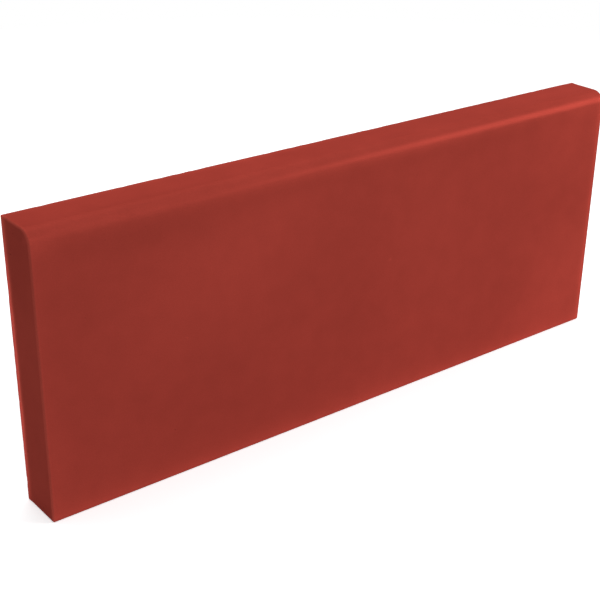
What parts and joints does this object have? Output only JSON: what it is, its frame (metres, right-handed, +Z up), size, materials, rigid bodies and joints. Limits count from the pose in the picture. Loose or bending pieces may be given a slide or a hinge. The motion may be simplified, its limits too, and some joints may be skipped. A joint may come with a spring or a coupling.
{
  "type": "garden curb",
  "caption": "Straight slim garden curb cast in one piece from red concrete, standing on edge, with a rounded nose along the top of its front face.",
  "frame": {"origin": "middle of the footprint, on the ground under the curb", "axes": "+Z up, X along the length, the front face with the rounded nose looks along -Y and the struck-off back looks along +Y"},
  "size_m": [0.5, 0.035, 0.2],
  "materials": {
    "red_concrete": "satin"
  },
  "bodies": {
    "root": {"curb": "red_concrete"}
  },
  "joints": []
}
